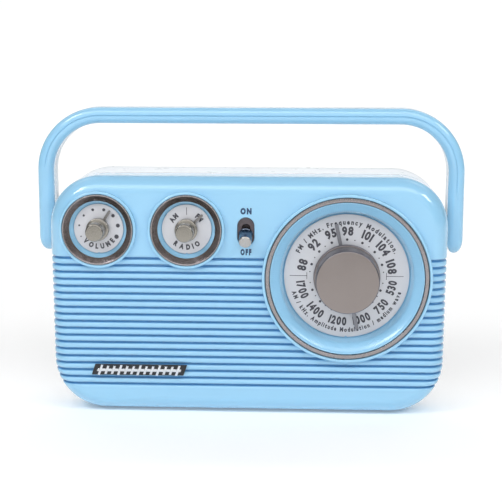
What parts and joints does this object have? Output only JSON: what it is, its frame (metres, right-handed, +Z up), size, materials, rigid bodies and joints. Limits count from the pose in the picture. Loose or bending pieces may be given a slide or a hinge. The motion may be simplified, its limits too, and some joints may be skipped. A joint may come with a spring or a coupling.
{
  "type": "portable table radio",
  "caption": "Table radio with ribbed rounded case, large dished tuning dial, small round volume and band dials, toggle switch and swing carrying handle.",
  "frame": {"origin": "centre of the overall box at the level of the feet's undersides", "axes": "+X left to right across the dial face, +Y from the dial face to the back, +Z up"},
  "size_m": [0.2676, 0.088, 0.1878],
  "materials": {
    "sky_shell": "glossy baby blue ABS moulding",
    "white_shell": "satin white ABS moulding",
    "champagne_metal": "spun champagne anodised aluminium",
    "bright_metal": "bright plated metal",
    "steel": "plain steel",
    "dial_plate": "silvered printed dial plate",
    "black_plastic": "black plastic",
    "switch_plastic": "brown grey switch moulding",
    "rubber_foot": "black rubber",
    "board_green": "coated circuit board",
    "speaker_paper": "doped paper cone",
    "ferrite": "ferrite rod",
    "cell_jacket": "printed steel cell jacket"
  },
  "bodies": {
    "case": {"badge_bar": "bright_metal", "badge_plate": "black_plastic", "band_bezel": "champagne_metal", "band_dish": "sky_shell", "band_scale": "dial_plate", "band_switch": "black_plastic", "battery_cell_1": "cell_jacket", "battery_cell_2": "cell_jacket", "battery_cell_3": "cell_jacket", "battery_cell_4": "cell_jacket", "battery_contact_left": "steel", "battery_contact_right": "steel", "case_screw_1": "steel", "case_screw_2": "steel", "case_screw_3": "steel", "case_screw_4": "steel", "earphone_socket": "black_plastic", "ferrite_rod": "ferrite", "foot_1": "rubber_foot", "foot_2": "rubber_foot", "foot_3": "rubber_foot", "foot_4": "rubber_foot", "front_shell": "sky_shell", "handle_pin_left": "steel", "handle_pin_right": "steel", "main_board": "board_green", "power_inlet": "black_plastic", "power_switch_body": "switch_plastic", "radio_chip": "black_plastic", "rear_shell": "white_shell", "speaker_cone": "speaker_paper", "speaker_frame": "steel", "speaker_magnet": "steel", "tuning_bezel": "champagne_metal", "tuning_capacitor": "white_shell", "tuning_dish": "sky_shell", "tuning_scale": "dial_plate", "volume_bezel": "champagne_metal", "volume_dish": "sky_shell", "volume_potentiometer": "steel", "volume_scale": "dial_plate"},
    "tuning": {"tuning_knob": "champagne_metal", "tuning_pointer": "steel", "tuning_shaft": "steel"},
    "volume": {"volume_knob": "champagne_metal", "volume_pointer": "steel", "volume_shaft": "steel"},
    "band": {"band_knob": "champagne_metal", "band_pointer": "steel", "band_shaft": "steel"},
    "power_lever": {"power_switch_lever": "bright_metal"},
    "handle": {"handle_front": "sky_shell", "handle_rear": "white_shell", "handle_cap_left": "sky_shell", "handle_cap_right": "sky_shell"},
    "battery_lid": {"battery_door": "white_shell"},
    "aerial_swivel": {"aerial_foot": "bright_metal"},
    "aerial_mast": {"aerial_tube_1": "bright_metal"},
    "aerial_middle": {"aerial_tube_2": "bright_metal"},
    "aerial_end": {"aerial_tip": "bright_metal"}
  },
  "joints": [
    {"name": "handle_swing", "type": "hinge", "parent": "case", "child": "handle", "pos_m": [0, 0.0093, 0.1065], "axis": [1, 0, 0], "range_deg": [-90, 90]},
    {"name": "tuning_turn", "type": "hinge", "parent": "case", "child": "tuning", "pos_m": [0.0606, -0.03, 0.0867], "axis": [0, 1, 0], "range_deg": [-78.4, 101.6]},
    {"name": "volume_turn", "type": "hinge", "parent": "case", "child": "volume", "pos_m": [-0.0912, -0.03, 0.1158], "axis": [0, 1, 0], "range_deg": [-183, 117]},
    {"name": "band_turn", "type": "hinge", "parent": "case", "child": "band", "pos_m": [-0.0372, -0.03, 0.1158], "axis": [0, 1, 0], "range_deg": [-94, 0]},
    {"name": "power_toggle", "type": "hinge", "parent": "case", "child": "power_lever", "pos_m": [-0.001, -0.0265, 0.1152], "axis": [-1, 0, 0], "range_deg": [0, 46]},
    {"name": "battery_door_hinge", "type": "hinge", "parent": "case", "child": "battery_lid", "pos_m": [0, 0.044, 0.0173], "axis": [-1, 0, 0], "range_deg": [0, 110]},
    {"name": "aerial_turn", "type": "hinge", "parent": "case", "child": "aerial_swivel", "pos_m": [0.08, 0.0385, 0.1358], "axis": [0, 0, -1], "range_deg": [0, 180]},
    {"name": "aerial_tilt", "type": "hinge", "parent": "aerial_swivel", "child": "aerial_mast", "pos_m": [0.08, 0.0385, 0.1413], "axis": [0, 1, 0], "range_deg": [0, 90]},
    {"name": "aerial_draw_1", "type": "slide", "parent": "aerial_mast", "child": "aerial_middle", "axis": [-1, 0, 0], "range_m": [0, 0.135]},
    {"name": "aerial_draw_2", "type": "slide", "parent": "aerial_middle", "child": "aerial_end", "axis": [-1, 0, 0], "range_m": [0, 0.13]}
  ]
}
